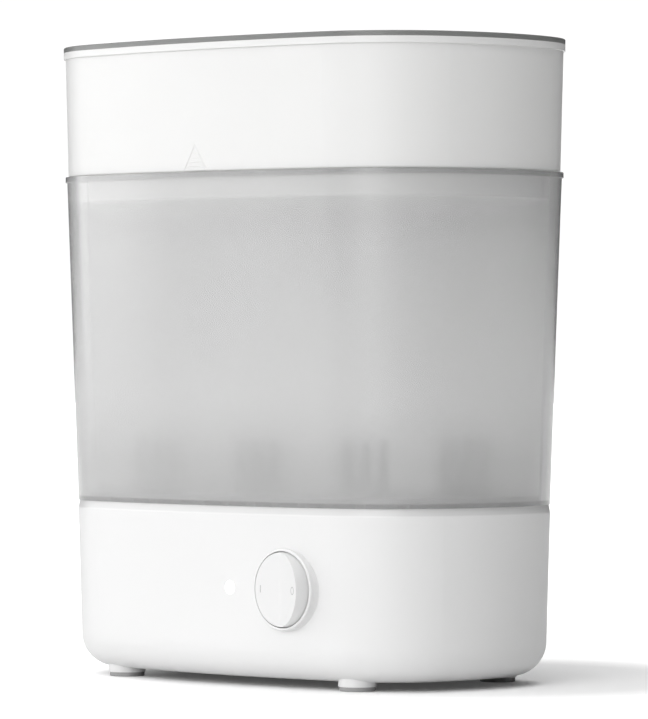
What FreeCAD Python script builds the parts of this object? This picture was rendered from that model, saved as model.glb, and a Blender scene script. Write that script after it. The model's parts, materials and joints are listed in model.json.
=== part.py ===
"""Electric steam steriliser for feeding bottles: base, two stacked baskets, bottle plate and lid.

Frame: +Z up, the front with the switch faces -Y, the origin is at the middle of the footprint
on the surface that the feet stand on. All sizes are in millimetres.
"""
import FreeCAD, Part
import math
import os
import Sketcher

V = FreeCAD.Vector

# Every driving size. An "inset" is a distance inwards from the widest plan outline.
DIMENSIONS = {
    # Plan outline that every shell follows: eight tangent arcs
    "half_width": 147.5,
    "half_depth": 90,
    "front_radius": 570,
    "end_radius": 124,
    "corner_radius": 65,
    # Base housing
    "base_bottom": 4.7,
    "base_band_level": 90.6,
    "base_top": 94.9,
    "base_top_inset": 8.9,
    "base_band_inset": 8.0,
    "base_foot_inset": 9.9,
    "base_fillet": 18,
    "base_wall": 2.6,
    "rim_inner_inset": 12.7,
    "deck_top": 84,
    "deck_thickness": 2.6,
    "deck_hole_radius": 56,
    "cover_inset": 30.4,
    "cover_gap": 0.4,
    "cover_thickness": 2.4,
    "ledge_inset": 34,
    "ledge_thickness": 2.2,
    "pillar_x": 105,
    "pillar_y": 18,
    "pillar_radius": 4.5,
    # Feet
    "foot_x": 87.3,
    "foot_y": 53.2,
    "foot_radius": 10,
    "pad_radius": 9.4,
    "pad_height": 2.3,
    "pad_spigot_radius": 3.5,
    "pad_spigot_height": 3.5,
    "slip": 0.05,
    # Heating plate and what is clamped under it
    "seal_outer_radius": 62,
    "seal_lip_radius": 53.6,
    "seal_thickness": 1.6,
    "plate_thickness": 0.8,
    "plate_floor_radius": 47,
    "plate_wall_radius": 52,
    "plate_depth": 6.5,
    "ring_inner_radius": 53,
    "ring_outer_radius": 70.5,
    "ring_thickness": 1.6,
    "ring_screw_radius": 66,
    "ring_boss_radius": 3.9,
    "diffuser_radius": 42,
    "diffuser_thickness": 5,
    "element_radius": 32,
    "element_tube_radius": 3.2,
    "element_sink": 1.7,
    "element_gap_degrees": 35,
    "thermostat_radius": 7.5,
    "thermostat_height": 7.7,
    # Switch
    "switch_x": 58.8,
    "switch_z": 52.3,
    "collar_front": 80.2,
    "collar_back": 66.7,
    "collar_radius": 21.4,
    "collar_flare_radius": 22.8,
    "collar_bore_radius": 20,
    "pivot_depth": 3.5,
    "button_radius": 19.75,
    "button_skirt": 5,
    "button_crease": 4.1,
    "button_dish_degrees": 8.65,
    "rocker_tilt_degrees": 10,
    "bridge_tilt_degrees": 8,
    "pin_radius": 1.25,
    "pin_length": 18,
    "switch_half_width": 12,
    "switch_half_height": 10,
    "switch_back": 46,
    "switch_wall": 1.6,
    "switch_flange": 2,
    "ear_offset": 18,
    "ear_radius": 4.5,
    # Indicator
    "lamp_x": 20.4,
    "lens_radius": 3.75,
    "lens_front": 80.75,
    "board_front": 67.6,
    "board_thickness": 1.6,
    "board_size": 22,
    # Cord entry, at the rear
    "gland_z": 30,
    "gland_bore_radius": 3.6,
    "gland_body_radius": 6.5,
    "gland_flange_radius": 8,
    "gland_outer": 83.4,
    "gland_inner": 74.6,
    # Large basket
    "large_flange_inset": 1.0,
    "large_flange_level": 266.9,
    "large_top": 269.8,
    "large_top_inset": 1.9,
    "large_bottom_inset": 8.1,
    "large_floor_thickness": 2.4,
    "large_wall": 2.6,
    "locating_inset": 13.2,
    "locating_wall": 1.6,
    "locating_depth": 4.9,
    # Bottle plate
    "bottle_plate_inset": 14,
    "bottle_plate_thickness": 2.4,
    "bottle_pitch_x": 78,
    "bottle_y": 37,
    "prong_ring_radius": 9.5,
    "prong_radius": 2.4,
    "prong_height": 29.3,
    # Small basket
    "small_lip_inset": 0,
    "small_lip_level": 333.7,
    "small_top": 337.2,
    "small_top_inset": 1.0,
    "small_bottom_inset": 2.6,
    "small_edge_radius": 1.0,
    "small_wall": 2.0,
    "small_skirt_inset": 5.1,
    "small_skirt_bottom": 255.8,
    "small_floor_thickness": 2.0,
    # Lid
    "lid_top": 340,
    "lid_thickness": 2.4,
    "lid_skirt_inset": 3.6,
    "lid_skirt_wall": 1.8,
    "lid_skirt_bottom": 330.5,
    "recess_half_length": 66,
    "recess_half_width": 33,
    "recess_floor": 321,
    "grip_half_length": 52,
    "grip_half_width": 7.5,
    "grip_top": 344.5,
}

doc = FreeCAD.newDocument("steam_steriliser")
finished = []


class Size:
    """A number together with the sheet expression that gives it."""

    def __init__(self, value, text):
        self.value = value
        self.text = text

    def __add__(self, other):
        return Size(self.value + number(other), "(%s + %s)" % (self.text, words(other)))

    def __radd__(self, other):
        return Size(other + self.value, "(%s + %s)" % (other, self.text))

    def __sub__(self, other):
        return Size(self.value - number(other), "(%s - %s)" % (self.text, words(other)))

    def __rsub__(self, other):
        return Size(other - self.value, "(%s - %s)" % (other, self.text))

    def __mul__(self, other):
        return Size(self.value * number(other), "(%s * %s)" % (self.text, words(other)))

    __rmul__ = __mul__

    def __truediv__(self, other):
        return Size(self.value / number(other), "(%s / %s)" % (self.text, words(other)))

    def __neg__(self):
        return Size(-self.value, "(-1 * %s)" % self.text)


def number(size):
    return size.value if isinstance(size, Size) else float(size)


def words(size):
    return size.text if isinstance(size, Size) else repr(float(size))


def root(size):
    return Size(math.sqrt(size.value), "sqrt(%s)" % size.text)


class Dimensions:
    """The sheet's sizes by name."""

    def __init__(self):
        sheet = doc.addObject("Spreadsheet::Sheet", "Dimensions")
        for row, (alias, value) in enumerate(DIMENSIONS.items(), start=1):
            sheet.set("A%d" % row, alias)
            sheet.set("B%d" % row, str(value))
            sheet.setAlias("B%d" % row, alias)
            setattr(self, alias, Size(value, "Dimensions.%s" % alias))


d = Dimensions()
doc.recompute()


# ---- helpers: bodies, sketches and features -------------------------------------------------

def new_body(label):
    body = doc.addObject("PartDesign::Body", label)
    body.Label = label
    finished.append(body)
    return body


def bind(item, path, size):
    item.setExpression(path, words(size))


def put(item, x=0, y=0, z=0, turn=None):
    """Place an item at bound coordinates, turned about Z by bound degrees if given."""
    if turn is not None:
        item.Placement = FreeCAD.Placement(V(), FreeCAD.Rotation(V(0, 0, 1), number(turn)))
        bind(item, "Placement.Rotation.Angle", turn)
    for axis, size in zip("xyz", (x, y, z)):
        bind(item, "Placement.Base.%s" % axis, size)


def new_sketch(body, name, role, lift=0, x=0, y=0):
    """A sketch on an origin plane of the body, raised along the plane's normal.

    XY_Plane looks down on X and Y, XZ_Plane shows X and Z with its normal along -Y.
    """
    sketch = body.newObject("Sketcher::SketchObject", name)
    plane = [item for item in body.Origin.OriginFeatures if item.Role == role][0]
    sketch.AttachmentSupport = [(plane, "")]
    sketch.MapMode = "FlatFace"
    for axis, size in zip("xyz", (x, y, lift)):
        bind(sketch, "AttachmentOffset.Base.%s" % axis, size)
    return sketch


def hold(sketch, kind, where, size):
    """Add a dimension to a sketch and bind it."""
    index = sketch.addConstraint(Sketcher.Constraint(kind, *where, number(size)))
    sketch.setExpression("Constraints[%d]" % index, words(size))


def pin_point(sketch, geometry, point, across, up):
    """Hold one point of a sketch at bound coordinates."""
    for kind, axis, size in (("DistanceX", -2, across), ("DistanceY", -1, up)):
        if number(size) == 0:
            sketch.addConstraint(Sketcher.Constraint("PointOnObject", geometry, point, axis))
        else:
            hold(sketch, kind, (-1, 1, geometry, point), size)


def circle(sketch, across, up, radius):
    place = V(number(across), number(up), 0)
    index = sketch.addGeometry(Part.Circle(place, V(0, 0, 1), number(radius)), False)
    hold(sketch, "Radius", (index,), radius)
    pin_point(sketch, index, 3, across, up)


def bend(start, finish, radius):
    """The arc from start to finish, under half a turn; a positive radius turns left."""
    chord = finish - start
    left = V(-chord.y, chord.x, 0).normalize()
    reach = math.sqrt(max(0, radius * radius - chord.Length ** 2 / 4))
    centre = (start + finish) / 2 + left * math.copysign(reach, radius)
    first, last = (start, finish) if radius > 0 else (finish, start)
    angles = [math.atan2(p.y - centre.y, p.x - centre.x) for p in (first, last)]
    if angles[1] < angles[0]:
        angles[1] += 2 * math.pi
    return Part.ArcOfCircle(Part.Circle(centre, V(0, 0, 1), abs(radius)), *angles)


def outline(sketch, corners):
    """A closed outline of corners (across, up) or (across, up, radius).

    A corner with a radius is reached by an arc of that radius, positive when it turns left.
    """
    first = sketch.GeometryCount
    points = [V(number(corner[0]), number(corner[1]), 0) for corner in corners]
    ends = []
    for i, corner in enumerate(corners):
        start = points[i - 1]
        if len(corner) == 2:
            sketch.addGeometry(Part.LineSegment(start, points[i]), False)
            ends.append((1, 2))
        else:
            sketch.addGeometry(bend(start, points[i], number(corner[2])), False)
            ends.append((1, 2) if number(corner[2]) > 0 else (2, 1))
    for i, corner in enumerate(corners):
        following = (i + 1) % len(corners)
        join = (first + i, ends[i][1], first + following, ends[following][0])
        sketch.addConstraint(Sketcher.Constraint("Coincident", *join))
        pin_point(sketch, first + i, ends[i][1], corner[0], corner[1])
        if len(corner) == 3:
            radius = corner[2] if number(corner[2]) > 0 else -corner[2]
            hold(sketch, "Radius", (first + i,), radius)


def box_outline(sketch, low_across, low_up, high_across, high_up):
    outline(sketch, [(low_across, low_up), (high_across, low_up),
                     (high_across, high_up), (low_across, high_up)])


def corner_centre():
    """Centre of the corner arc, which touches the front arc and the end arc from inside."""
    front = V(0, number(d.half_depth - d.front_radius), 0)
    end = V(number(d.half_width - d.end_radius), 0, 0)
    front_reach = number(d.front_radius - d.corner_radius)
    end_reach = number(d.end_radius - d.corner_radius)
    span = (end - front).Length
    along = (span ** 2 + front_reach ** 2 - end_reach ** 2) / (2 * span)
    aside = math.sqrt(front_reach ** 2 - along ** 2)
    forward = (end - front).normalize()
    return front + forward * along + V(forward.y, -forward.x, 0) * aside


def oval(sketch, inset):
    """The plan outline, moved inwards: right end, corner, rear, corner, and on round."""
    first = sketch.GeometryCount
    centre = corner_centre()
    end_x = d.half_width - d.end_radius
    front_y = d.half_depth - d.front_radius
    end_turn = math.atan2(centre.y, centre.x - number(end_x))
    front_turn = math.atan2(centre.y - number(front_y), centre.x)
    half = math.pi
    arcs = [
        (number(end_x), 0, d.end_radius, -end_turn, end_turn),
        (centre.x, centre.y, d.corner_radius, end_turn, front_turn),
        (0, number(front_y), d.front_radius, front_turn, half - front_turn),
        (-centre.x, centre.y, d.corner_radius, half - front_turn, half - end_turn),
        (-number(end_x), 0, d.end_radius, half - end_turn, half + end_turn),
        (-centre.x, -centre.y, d.corner_radius, half + end_turn, half + front_turn),
        (0, -number(front_y), d.front_radius, half + front_turn, 2 * half - front_turn),
        (centre.x, -centre.y, d.corner_radius, 2 * half - front_turn, 2 * half - end_turn),
    ]
    for x, y, radius, start, finish in arcs:
        rim = Part.Circle(V(x, y, 0), V(0, 0, 1), number(radius - inset))
        sketch.addGeometry(Part.ArcOfCircle(rim, start, finish), False)
    for i in range(8):
        join = (first + i, 2, first + (i + 1) % 8, 1)
        sketch.addConstraint(Sketcher.Constraint("Tangent", *join))
        hold(sketch, "Radius", (first + i,), arcs[i][2] - inset)
    pin_point(sketch, first, 3, end_x, 0)
    pin_point(sketch, first + 4, 3, -end_x, 0)
    pin_point(sketch, first + 2, 3, 0, front_y)
    pin_point(sketch, first + 6, 3, 0, -front_y)


def pad(body, name, sketch, length, back=False, taper=0):
    """Pad along the sketch's normal, or against it if back is set."""
    feature = body.newObject("PartDesign::Pad", name)
    feature.Profile = sketch
    feature.Reversed = back
    feature.TaperAngle = taper
    bind(feature, "Length", length)
    return feature


def pocket(body, name, sketch, length):
    """Cut against the sketch's normal: down from an XY sketch, rearwards from an XZ one."""
    feature = body.newObject("PartDesign::Pocket", name)
    feature.Profile = sketch
    bind(feature, "Length", length)
    return feature


def revolve(body, name, sketch):
    """Turn a profile about the sketch's upright axis."""
    feature = body.newObject("PartDesign::Revolution", name)
    feature.Profile = sketch
    feature.ReferenceAxis = (sketch, ["V_Axis"])
    feature.Angle = 360
    return feature


def wall(body, name, corners):
    """Sweep a section of (inset, level) corners once round the plan outline."""
    path = new_sketch(body, name + "Path", "XY_Plane")
    oval(path, 0)
    section = new_sketch(body, name + "Section", "XZ_Plane")
    outline(section, [(d.half_width - corner[0],) + tuple(corner[1:]) for corner in corners])
    feature = body.newObject("PartDesign::AdditivePipe", name)
    feature.Profile = (section, [""])
    feature.Spine = (path, ["Edge%d" % i for i in range(1, 9)])
    feature.Mode = "Frenet"
    return feature


def pad_circles(body, name, role, places, radius, lift, length, back=False):
    sketch = new_sketch(body, name + "Sketch", role, lift)
    for across, up in places:
        circle(sketch, across, up, radius)
    return pad(body, name, sketch, length, back)


def cut_circles(body, name, role, places, radius, lift, length):
    sketch = new_sketch(body, name + "Sketch", role, lift)
    for across, up in places:
        circle(sketch, across, up, radius)
    return pocket(body, name, sketch, length)


def pad_box(body, name, low, high, level, length):
    """A block between two plan corners, from a level upwards."""
    sketch = new_sketch(body, name + "Sketch", "XY_Plane", level)
    box_outline(sketch, low[0], low[1], high[0], high[1])
    return pad(body, name, sketch, length)


def repeat(body, name, feature, sketch, axis, span, count):
    """Repeat one feature evenly along a sketch axis over a bound span."""
    pattern = body.newObject("PartDesign::LinearPattern", name)
    pattern.Originals = [feature]
    pattern.Direction = (sketch, [axis])
    pattern.Occurrences = count
    bind(pattern, "Length", span)
    body.Tip = pattern
    return pattern


def screws(label, role, places, start, head_radius, head_height, shank_radius, length, back=False):
    """A group of equal pan-head screws, heads first along the sketch's normal."""
    body = new_body(label)
    toward = -1 if back else 1
    pad_circles(body, "Heads", role, places, head_radius, start, head_height, back)
    shank_start = start + head_height * toward
    pad_circles(body, "Shanks", role, places, shank_radius, shank_start, length, back)
    grooves = new_sketch(body, "SlotSketch", role, start)
    for across, up in places:
        box_outline(grooves, across - head_radius * 0.7, up - 0.4, across + head_radius * 0.7, up + 0.4)
    feature = pocket(body, "Slots", grooves, head_height / 2)
    feature.Reversed = not back
    return body


def mirrored(x, y):
    """The four places (+-x, +-y)."""
    return [(x, y), (-x, y), (-x, -y), (x, -y)]


def wire(label, points, radius):
    """An insulated lead along straight runs joined by tangent arcs."""
    route = [V(point) for point in points]
    edges = []
    begin = route[0]
    for before, here, after in zip(route, route[1:], route[2:]):
        back = (before - here).normalize()
        ahead = (after - here).normalize()
        turn = math.pi - back.getAngle(ahead)
        run = min((before - here).Length, (after - here).Length)
        reach = 0.45 * run
        bend_radius = reach / math.tan(turn / 2)
        middle = (back + ahead).normalize()
        centre = here + middle * (bend_radius / math.cos(turn / 2))
        start = here + back * reach
        finish = here + ahead * reach
        edges.append(Part.LineSegment(begin, start).toShape())
        edges.append(Part.Arc(start, centre - middle * bend_radius, finish).toShape())
        begin = finish
        print("%s bend radius %.1f" % (label, bend_radius))
    edges.append(Part.LineSegment(begin, route[-1]).toShape())
    path = Part.Wire(edges)
    section = Part.Wire([Part.Circle(route[0], route[1] - route[0], radius).toShape()])
    tube = path.makePipeShell([section], True, True)
    expected = math.pi * radius ** 2 * path.Length
    if abs(tube.Volume - expected) > 0.01 * expected:
        raise RuntimeError("%s: volume %.1f, expected %.1f" % (label, tube.Volume, expected))
    return tube


def wire_part(label, tube):
    item = doc.addObject("Part::Feature", label)
    item.Label = label
    item.Shape = tube
    finished.append(item)


def top_edges(feature, level):
    """Names of the edges that lie wholly at one level."""
    names = []
    for i, edge in enumerate(feature.Shape.Edges, start=1):
        heights = [vertex.Z for vertex in edge.Vertexes]
        if all(abs(height - level) < 1e-6 for height in heights):
            names.append("Edge%d" % i)
    return names


def fillet(body, name, feature, edges, radius):
    rounding = body.newObject("PartDesign::Fillet", name)
    rounding.Base = (feature, edges)
    bind(rounding, "Radius", radius)
    return rounding


# ---- places shared by parts that meet -------------------------------------------------------

deck_underside = d.deck_top - d.deck_thickness
cover_top = d.base_bottom + d.cover_thickness
ledge_level = cover_top + 0.1
feet = {
    "front_left": (-d.foot_x, -d.foot_y),
    "front_right": (d.foot_x, -d.foot_y),
    "rear_left": (-d.foot_x, d.foot_y),
    "rear_right": (d.foot_x, d.foot_y),
}
pillars = mirrored(d.pillar_x, d.pillar_y)
ring_screws = [
    (d.ring_screw_radius * math.cos(math.radians(angle)),
     d.ring_screw_radius * math.sin(math.radians(angle)))
    for angle in range(30, 360, 60)
]
rim_top = deck_underside - d.seal_thickness
rim_underside = rim_top - d.plate_thickness
floor_underside = rim_top - d.plate_depth - d.plate_thickness
diffuser_underside = floor_underside - d.diffuser_thickness
element_level = diffuser_underside - d.element_sink
switch_ears = [
    (d.switch_x - d.ear_offset, d.switch_z - d.ear_offset),
    (d.switch_x + d.ear_offset, d.switch_z + d.ear_offset),
]
pivot_y = d.pivot_depth - d.collar_front
bridge_y = pivot_y + 21.2
board_holes = [(d.lamp_x - 8.5, d.switch_z - 8.3), (d.lamp_x + 8.5, d.switch_z + 8.3)]
bracket_holes = [(-16, 0), (16, 0)]
fuse_y = 18
clip_reach = 6.3
clip_hole = [(0, fuse_y + clip_reach)]
block_hole = [(-78.7, 35)]
clamp_holes = [(-10.5, 48), (10.5, 48)]
cradle_low, cradle_high = (-16, 44), (16, 52)
cradle_top = d.gland_z - d.gland_bore_radius
bottle_places = [
    (d.bottle_pitch_x * column, d.bottle_y * row) for column in (-1, 0, 1) for row in (-1, 1)
]


# ---- base -----------------------------------------------------------------------------------

def base_housing():
    body = new_body("base_housing")
    inside = d.base_foot_inset + d.base_wall
    turn_inset = d.base_foot_inset + d.base_fillet
    turn_level = d.base_bottom + d.base_fillet
    lip_inset = d.cover_inset - d.cover_gap
    wall(body, "Shell", [
        (d.base_top_inset, d.base_top),
        (d.base_band_inset, d.base_band_level),
        (d.base_foot_inset, turn_level),
        (turn_inset, d.base_bottom, -d.base_fillet),
        (lip_inset, d.base_bottom),
        (lip_inset, d.base_bottom + d.base_wall),
        (turn_inset, d.base_bottom + d.base_wall),
        (inside, turn_level, d.base_fillet - d.base_wall),
        (d.base_band_inset + d.base_wall, d.deck_top),
        (d.rim_inner_inset, d.deck_top),
        (d.rim_inner_inset, d.base_top),
    ])
    ledge = new_sketch(body, "LedgeSketch", "XY_Plane", ledge_level)
    oval(ledge, turn_inset - 3)
    oval(ledge, d.ledge_inset)
    pad(body, "Ledge", ledge, d.ledge_thickness)
    deck = new_sketch(body, "DeckSketch", "XY_Plane", deck_underside)
    oval(deck, d.base_band_inset + 1.5)
    pad(body, "Deck", deck, d.deck_thickness)
    cut_circles(body, "DeckHole", "XY_Plane", [(0, 0)], d.deck_hole_radius, d.deck_top + 1, 5)
    pad_circles(body, "RingBosses", "XY_Plane", ring_screws, d.ring_boss_radius,
                deck_underside, deck_underside - rim_underside, back=True)
    cut_circles(body, "RingBossHoles", "XY_Plane", ring_screws, 1.55, d.deck_top - 1, 5)
    pad_circles(body, "Pillars", "XY_Plane", pillars, d.pillar_radius,
                deck_underside, deck_underside - ledge_level, back=True)
    cut_circles(body, "PillarHoles", "XY_Plane", pillars, 1.65, ledge_level + 14, 15)
    pad_circles(body, "BlockBoss", "XY_Plane", block_hole, 4, deck_underside, 9.4, back=True)
    cut_circles(body, "BlockBossHole", "XY_Plane", block_hole, 1.55, deck_underside - 1, 10)
    places = list(feet.values())
    pad_circles(body, "FootStubs", "XY_Plane", places, d.foot_radius, d.pad_height, 5.9)
    cut_circles(body, "FootSockets", "XY_Plane", places, d.pad_spigot_radius + d.slip,
                d.pad_height + d.pad_spigot_height + 0.4, 5)
    housing_collar(body)
    cut_circles(body, "LampHole", "XZ_Plane", [(d.lamp_x, d.switch_z)],
                d.lens_radius + d.slip, 84, 10)
    pad_circles(body, "BoardBosses", "XZ_Plane", board_holes, 2.8, d.board_front, 10.6)
    cut_circles(body, "BoardBossHoles", "XZ_Plane", board_holes, 1.05, d.board_front + 7, 8)
    cut_circles(body, "GlandHole", "XZ_Plane", [(0, d.gland_z)],
                d.gland_body_radius + d.slip, -76, 8)


def housing_collar(body):
    """The flared ring that surrounds the round rocker, and the sleeve behind it."""
    section = new_sketch(body, "CollarSection", "XY_Plane", d.switch_z, x=d.switch_x)
    bore = d.collar_bore_radius - 1.5
    outline(section, [
        (bore, -d.collar_front),
        (d.collar_radius - 0.8, -d.collar_front),
        (d.collar_radius, 0.8 - d.collar_front, 0.8),
        (d.collar_flare_radius, 6.4 - d.collar_front, -10),
        (d.collar_flare_radius, 7.2 - d.collar_front),
        (d.collar_radius + 0.5, 7.2 - d.collar_front),
        (d.collar_radius + 0.5, -d.collar_back),
        (bore, -d.collar_back),
    ])
    revolve(body, "Collar", section)
    pad_circles(body, "EarBosses", "XZ_Plane", switch_ears, 3.2, d.collar_back, 6.8)
    cut_circles(body, "CollarBore", "XZ_Plane", [(d.switch_x, d.switch_z)],
                d.collar_bore_radius, 82, 22)
    cut_circles(body, "EarBossHoles", "XZ_Plane", switch_ears, 1.3, 72, 6)


def bottom_cover():
    body = new_body("bottom_cover")
    sketch = new_sketch(body, "CoverSketch", "XY_Plane", d.base_bottom)
    oval(sketch, d.cover_inset)
    pad(body, "Cover", sketch, d.cover_thickness)
    pad_box(body, "Cradle", cradle_low, cradle_high, cover_top, cradle_top - cover_top)
    cut_circles(body, "CradleHoles", "XY_Plane", clamp_holes, 1.35, cradle_top, 14)
    cut_circles(body, "FootNotches", "XY_Plane", list(feet.values()), d.foot_radius + 0.4,
                cover_top + 1, 5)
    cut_circles(body, "ScrewHoles", "XY_Plane", pillars, 1.8, cover_top + 1, 5)
    cut_circles(body, "ScrewSinks", "XY_Plane", pillars, 3.6, d.base_bottom + 1.5, 2)


def foot_pads():
    for name, (x, y) in feet.items():
        body = new_body("foot_pad_" + name)
        section = new_sketch(body, "Section", "XZ_Plane")
        top = d.pad_height + d.pad_spigot_height
        outline(section, [
            (0, 0),
            (d.pad_radius - 0.6, 0),
            (d.pad_radius, 0.6, 0.6),
            (d.pad_radius, d.pad_height),
            (d.pad_spigot_radius, d.pad_height),
            (d.pad_spigot_radius, top),
            (0, top),
        ])
        revolve(body, "Pad", section)
        put(body, x, y)


def cord_entry():
    body = new_body("cord_gland")
    section = new_sketch(body, "Section", "XY_Plane", d.gland_z)
    outline(section, [
        (d.gland_bore_radius, d.gland_inner),
        (d.gland_flange_radius - 0.4, d.gland_inner),
        (d.gland_flange_radius - 0.4, d.gland_inner + 2.8),
        (d.gland_body_radius, d.gland_inner + 2.8),
        (d.gland_body_radius, d.gland_outer - 2.7),
        (d.gland_flange_radius, d.gland_outer - 2.7),
        (d.gland_flange_radius, d.gland_outer - 0.8),
        (d.gland_flange_radius - 0.8, d.gland_outer, 0.8),
        (d.gland_bore_radius, d.gland_outer),
    ])
    revolve(body, "Gland", section)

    bar = new_body("cord_clamp")
    bar_top = d.gland_z + 6
    pad_box(bar, "Bar", cradle_low, cradle_high, cradle_top, bar_top - cradle_top)
    channel = new_sketch(bar, "ChannelSketch", "XZ_Plane", -43)
    box_outline(channel, -4.5, cradle_top, 4.5, d.gland_z + d.gland_bore_radius)
    pocket(bar, "Channel", channel, 10)
    cut_circles(bar, "BarHoles", "XY_Plane", clamp_holes, 1.7, bar_top, 10)
    screws("cord_clamp_screws", "XY_Plane", clamp_holes, bar_top + 2, 2.7, 2, 1.3, 17, back=True)


def base_fasteners():
    screws("cover_screws", "XY_Plane", pillars, d.base_bottom + 0.1, 3.2, 1.4, 1.6, 13)
    head = rim_underside - d.ring_thickness - 2
    screws("clamp_ring_screws", "XY_Plane", ring_screws, head, 3, 2, 1.5, 5.2)
    screws("switch_screws", "XZ_Plane", switch_ears, 62.9, 2.6, 1.8, 1.25, 6.3)
    screws("board_screws", "XZ_Plane", board_holes, 64.6, 1.9, 1.4, 1, 6)
    screws("bracket_screws", "XY_Plane", bracket_holes, diffuser_underside - 3, 2.6, 2, 1.5, 4.7)
    screws("fuse_clip_screw", "XY_Plane", clip_hole, diffuser_underside - 2.8, 2.2, 2, 1.2, 4.2)
    screws("terminal_block_screw", "XY_Plane", block_hole, 57.9, 2.8, 2, 1.5, 19)


# ---- heating plate --------------------------------------------------------------------------

def heating_plate():
    body = new_body("heating_plate")
    section = new_sketch(body, "Section", "XZ_Plane")
    floor_top = rim_top - d.plate_depth
    outline(section, [
        (0, floor_top),
        (d.plate_floor_radius - 0.4, floor_top),
        (d.plate_wall_radius - 0.6, rim_top),
        (d.seal_outer_radius, rim_top),
        (d.seal_outer_radius, rim_underside),
        (d.plate_wall_radius + 0.2, rim_underside),
        (d.plate_floor_radius + 0.4, floor_underside),
        (0, floor_underside),
    ])
    revolve(body, "Dish", section)


def plate_seal():
    body = new_body("plate_seal")
    section = new_sketch(body, "Section", "XZ_Plane")
    lip_top = d.deck_top + 0.6
    lip_outer = d.deck_hole_radius - 0.1
    outline(section, [
        (d.seal_lip_radius, rim_top),
        (d.seal_outer_radius, rim_top),
        (d.seal_outer_radius, deck_underside),
        (lip_outer, deck_underside),
        (lip_outer, lip_top - 0.6),
        (lip_outer - 0.6, lip_top, 0.6),
        (d.seal_lip_radius + 0.6, lip_top),
        (d.seal_lip_radius, lip_top - 0.6, 0.6),
    ])
    revolve(body, "Seal", section)


def plate_clamp_ring():
    body = new_body("plate_clamp_ring")
    sketch = new_sketch(body, "RingSketch", "XY_Plane", rim_underside - d.ring_thickness)
    circle(sketch, 0, 0, d.ring_outer_radius)
    circle(sketch, 0, 0, d.ring_inner_radius)
    pad(body, "Ring", sketch, d.ring_thickness)
    cut_circles(body, "RingHoles", "XY_Plane", ring_screws, 1.8, rim_underside + 1, 4)


def heat_diffuser():
    body = new_body("heat_diffuser")
    pad_circles(body, "Disc", "XY_Plane", [(0, 0)], d.diffuser_radius,
                diffuser_underside, d.diffuser_thickness)
    section = new_sketch(body, "GrooveSection", "XZ_Plane")
    circle(section, d.element_radius, element_level, d.element_tube_radius + d.slip)
    groove = body.newObject("PartDesign::Groove", "ElementGroove")
    groove.Profile = section
    groove.ReferenceAxis = (section, ["V_Axis"])
    groove.Angle = 360
    cut_circles(body, "BracketHoles", "XY_Plane", bracket_holes, 1.55, floor_underside - 1, 4.5)
    cut_circles(body, "ClipHole", "XY_Plane", clip_hole, 1.25, floor_underside - 1, 4.5)


def heater_element():
    body = new_body("heater_element")
    section = new_sketch(body, "Section", "XZ_Plane")
    circle(section, d.element_radius, element_level, d.element_tube_radius)
    arc = revolve(body, "Tube", section)
    bind(arc, "Angle", 360 - d.element_gap_degrees * 2)
    put(body, turn=d.element_gap_degrees)
    pins = []
    for side in (1, -1):
        pin = doc.addObject("Part::Cylinder", "Pin%d" % len(pins))
        bind(pin, "Radius", 1.2)
        bind(pin, "Height", 8)
        start = element_pin(side, 0)
        along = element_pin(side, 1) - start
        pin.Placement = FreeCAD.Placement(start, FreeCAD.Rotation(V(0, 0, 1), along))
        pins.append(pin)
    group = doc.addObject("Part::Compound", "heater_pins")
    group.Label = "heater_pins"
    group.Links = pins
    finished.append(group)


def thermostat():
    body = new_body("thermostat")
    section = new_sketch(body, "Section", "XZ_Plane")
    low = diffuser_underside - d.thermostat_height
    outline(section, [
        (0, low),
        (d.thermostat_radius, low),
        (d.thermostat_radius, diffuser_underside - 1.8),
        (d.thermostat_radius + 1, diffuser_underside - 1.8),
        (d.thermostat_radius + 1, diffuser_underside),
        (0, diffuser_underside),
    ])
    revolve(body, "Capsule", section)
    blades = new_sketch(body, "BladeSketch", "XY_Plane", low)
    box_outline(blades, 4.1, -3.15, 4.9, 3.15)
    box_outline(blades, -4.9, -3.15, -4.1, 3.15)
    pad(body, "Blades", blades, 7, back=True)

    strap = new_body("thermostat_bracket")
    half = 11
    profile = new_sketch(strap, "StrapSketch", "XZ_Plane", half)
    top = diffuser_underside
    outline(profile, [
        (-20, top), (-20, top - 1), (-13, top - 1), (-11.2, top - 2.8),
        (11.2, top - 2.8), (13, top - 1), (20, top - 1), (20, top),
        (12.6, top), (10.8, top - 1.8), (-10.8, top - 1.8), (-12.6, top),
    ])
    pad(strap, "Strap", profile, 2 * half, back=True)
    cut_circles(strap, "CapsuleHole", "XY_Plane", [(0, 0)], d.thermostat_radius + 0.1, top, 4)
    cut_circles(strap, "StrapHoles", "XY_Plane", bracket_holes, 1.6, top + 0.5, 2)


def thermal_fuse():
    """The fuse lies along X under the diffuser, held by a one-screw saddle clip."""
    body = new_body("thermal_fuse")
    section = new_sketch(body, "Section", "XY_Plane", diffuser_underside - 2.1)
    outline(section, [(0, -7.7), (0.5, -7.7), (0.5, -5.2), (2, -5.2),
                      (2, 5.2), (0.5, 5.2), (0.5, 7.7), (0, 7.7)])
    revolve(body, "Fuse", section)
    put(body, 0, fuse_y, turn=-90)

    clip = new_body("fuse_clip")
    profile = new_sketch(clip, "ClipSketch", "XZ_Plane", 2.5)
    top = diffuser_underside
    outline(profile, [(2.2, top), (2.2, top - 4.3), (-2.2, top - 4.3), (-2.2, top),
                      (-3, top), (-3, top - 5.1), (3, top - 5.1), (3, top - 0.8),
                      (9, top - 0.8), (9, top)])
    pad(clip, "Clip", profile, 5, back=True)
    cut_circles(clip, "ClipHole", "XY_Plane", [(clip_reach, 0)], 1.3, top + 0.5, 2)
    put(clip, 0, fuse_y, turn=90)


# ---- switch and indicator -------------------------------------------------------------------

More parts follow.
